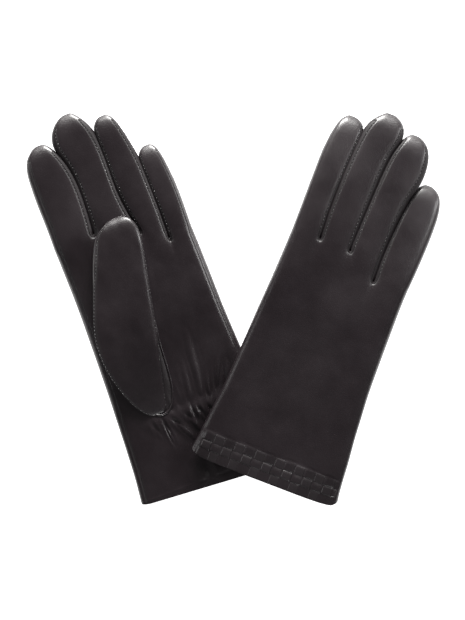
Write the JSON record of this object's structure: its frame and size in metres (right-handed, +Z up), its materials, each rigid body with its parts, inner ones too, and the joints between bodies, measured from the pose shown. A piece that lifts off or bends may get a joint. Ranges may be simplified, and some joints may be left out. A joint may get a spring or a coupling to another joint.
{
  "type": "leather gloves",
  "caption": "Pair of lined dress gloves lying flat, one palm up and one back up, with fourchette fingers, gathered wrist and woven cuff band.",
  "frame": {"origin": "middle of the pair on the surface it lies on", "axes": "+Z up from that surface, +Y from the cuffs towards the fingertips, +X to the right glove"},
  "size_m": [0.2667, 0.2619, 0.0218],
  "materials": {
    "leather": "smooth nappa, soft satin sheen",
    "side_leather": "smooth nappa, skived thin",
    "band_leather": "woven narrow strips, satin",
    "facing_leather": "turned-in hem, matt",
    "lining": "fine silk knit",
    "elastic": "flat woven elastic"
  },
  "bodies": {
    "left_hand": {"left_back_panel": "leather", "left_palm_panel": "leather", "left_thumb_gusset": "side_leather", "left_cuff_facing": "facing_leather", "left_wrist_elastic": "elastic", "left_hand_lining": "lining", "left_band_long_strips": "band_leather", "left_band_cross_strips": "band_leather"},
    "left_thumb": {"left_thumb_outer": "leather", "left_thumb_inner": "leather", "left_thumb_lining": "lining"},
    "left_index": {"left_index_back": "leather", "left_index_front": "leather", "left_index_fourchettes": "side_leather", "left_index_lining": "lining"},
    "left_middle": {"left_middle_back": "leather", "left_middle_front": "leather", "left_middle_fourchettes": "side_leather", "left_middle_lining": "lining"},
    "left_ring": {"left_ring_back": "leather", "left_ring_front": "leather", "left_ring_fourchettes": "side_leather", "left_ring_lining": "lining"},
    "left_little": {"left_little_back": "leather", "left_little_front": "leather", "left_little_fourchettes": "side_leather", "left_little_lining": "lining"},
    "right_hand": {"right_back_panel": "leather", "right_palm_panel": "leather", "right_thumb_gusset": "side_leather", "right_cuff_facing": "facing_leather", "right_wrist_elastic": "elastic", "right_hand_lining": "lining", "right_band_long_strips": "band_leather", "right_band_cross_strips": "band_leather"},
    "right_thumb": {"right_thumb_outer": "leather", "right_thumb_inner": "leather", "right_thumb_lining": "lining"},
    "right_index": {"right_index_back": "leather", "right_index_front": "leather", "right_index_fourchettes": "side_leather", "right_index_lining": "lining"},
    "right_middle": {"right_middle_back": "leather", "right_middle_front": "leather", "right_middle_fourchettes": "side_leather", "right_middle_lining": "lining"},
    "right_ring": {"right_ring_back": "leather", "right_ring_front": "leather", "right_ring_fourchettes": "side_leather", "right_ring_lining": "lining"},
    "right_little": {"right_little_back": "leather", "right_little_front": "leather", "right_little_fourchettes": "side_leather", "right_little_lining": "lining"}
  },
  "joints": [
    {"name": "left_index_fold", "type": "hinge", "parent": "left_hand", "child": "left_index", "pos_m": [-0.10421, 0.05011, 0.012], "axis": [0.9373, 0.3486, 0], "range_deg": [0, 80]},
    {"name": "left_middle_fold", "type": "hinge", "parent": "left_hand", "child": "left_middle", "pos_m": [-0.08046, 0.06427, 0.012], "axis": [0.9373, 0.3486, 0], "range_deg": [0, 80]},
    {"name": "left_ring_fold", "type": "hinge", "parent": "left_hand", "child": "left_ring", "pos_m": [-0.05434, 0.06118, 0.012], "axis": [0.9373, 0.3486, 0], "range_deg": [0, 80]},
    {"name": "left_little_fold", "type": "hinge", "parent": "left_hand", "child": "left_little", "pos_m": [-0.03457, 0.0568, 0.012], "axis": [0.9373, 0.3486, 0], "range_deg": [0, 80]},
    {"name": "right_index_fold", "type": "hinge", "parent": "right_hand", "child": "right_index", "pos_m": [0.04857, 0.05472, 0.0218], "axis": [0.9342, -0.3567, 0], "range_deg": [0, 60]},
    {"name": "right_middle_fold", "type": "hinge", "parent": "right_hand", "child": "right_middle", "pos_m": [0.06725, 0.04758, 0.0218], "axis": [0.9342, -0.3567, 0], "range_deg": [0, 60]},
    {"name": "right_ring_fold", "type": "hinge", "parent": "right_hand", "child": "right_ring", "pos_m": [0.08687, 0.04009, 0.0218], "axis": [0.9342, -0.3567, 0], "range_deg": [0, 60]},
    {"name": "right_little_fold", "type": "hinge", "parent": "right_hand", "child": "right_little", "pos_m": [0.1028, 0.01902, 0.0218], "axis": [0.9342, -0.3567, 0], "range_deg": [0, 60]},
    {"name": "left_thumb_lift", "type": "hinge", "parent": "left_hand", "child": "left_thumb", "pos_m": [-0.04795, -0.065, 0.0098], "axis": [0.9373, 0.3486, 0], "range_deg": [0, 65]},
    {"name": "right_thumb_swing", "type": "hinge", "parent": "right_hand", "child": "right_thumb", "pos_m": [0.0332, -0.01862, 0.004], "axis": [0, 0, 1], "range_deg": [0, 45]},
    {"name": "right_glove_lift", "type": "slide", "parent": "left_hand", "child": "right_hand", "axis": [0, 0, 1], "range_m": [0, 0.15]}
  ]
}
